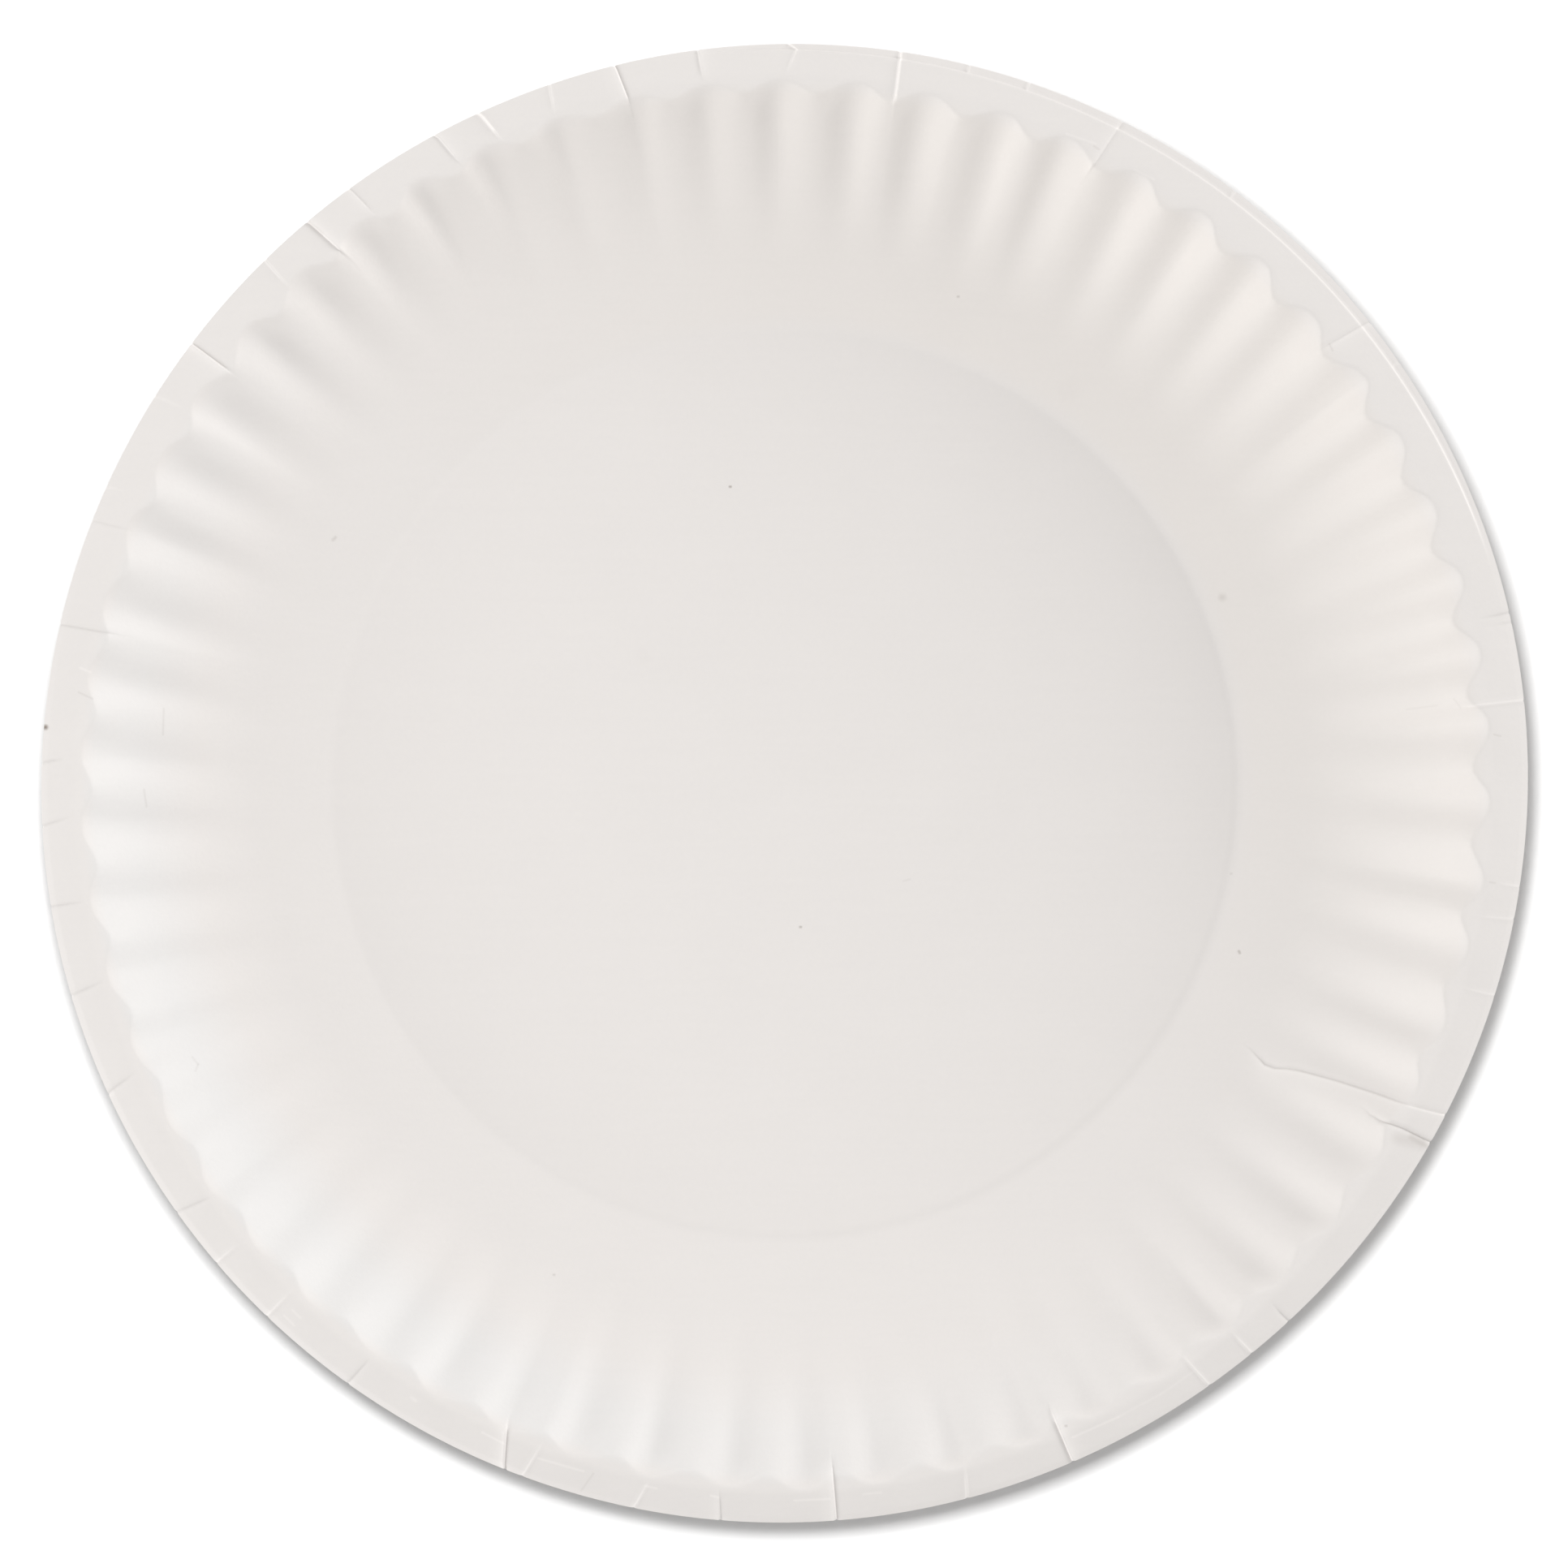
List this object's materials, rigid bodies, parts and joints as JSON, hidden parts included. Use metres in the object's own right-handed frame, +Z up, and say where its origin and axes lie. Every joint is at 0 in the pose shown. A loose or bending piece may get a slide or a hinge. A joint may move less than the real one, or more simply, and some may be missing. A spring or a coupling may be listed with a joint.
{
  "type": "paper plate",
  "caption": "Round uncoated white paper plate with a flat base, a fluted side wall and a narrow flat brim, pressed from one sheet.",
  "frame": {"origin": "middle of the flat base's underside, the face that the plate rests on", "axes": "+Z up along the plate's axis, out of the well; X and Y lie in the rest face, and the first flute hollow lies 3.9 degrees from +X towards +Y"},
  "size_m": [0.2286, 0.2286, 0.016],
  "materials": {
    "paperboard": "matt uncoated off-white paperboard with a faint fibre mottle and a few grey flecks"
  },
  "bodies": {
    "root": {"plate": "paperboard"}
  },
  "joints": []
}
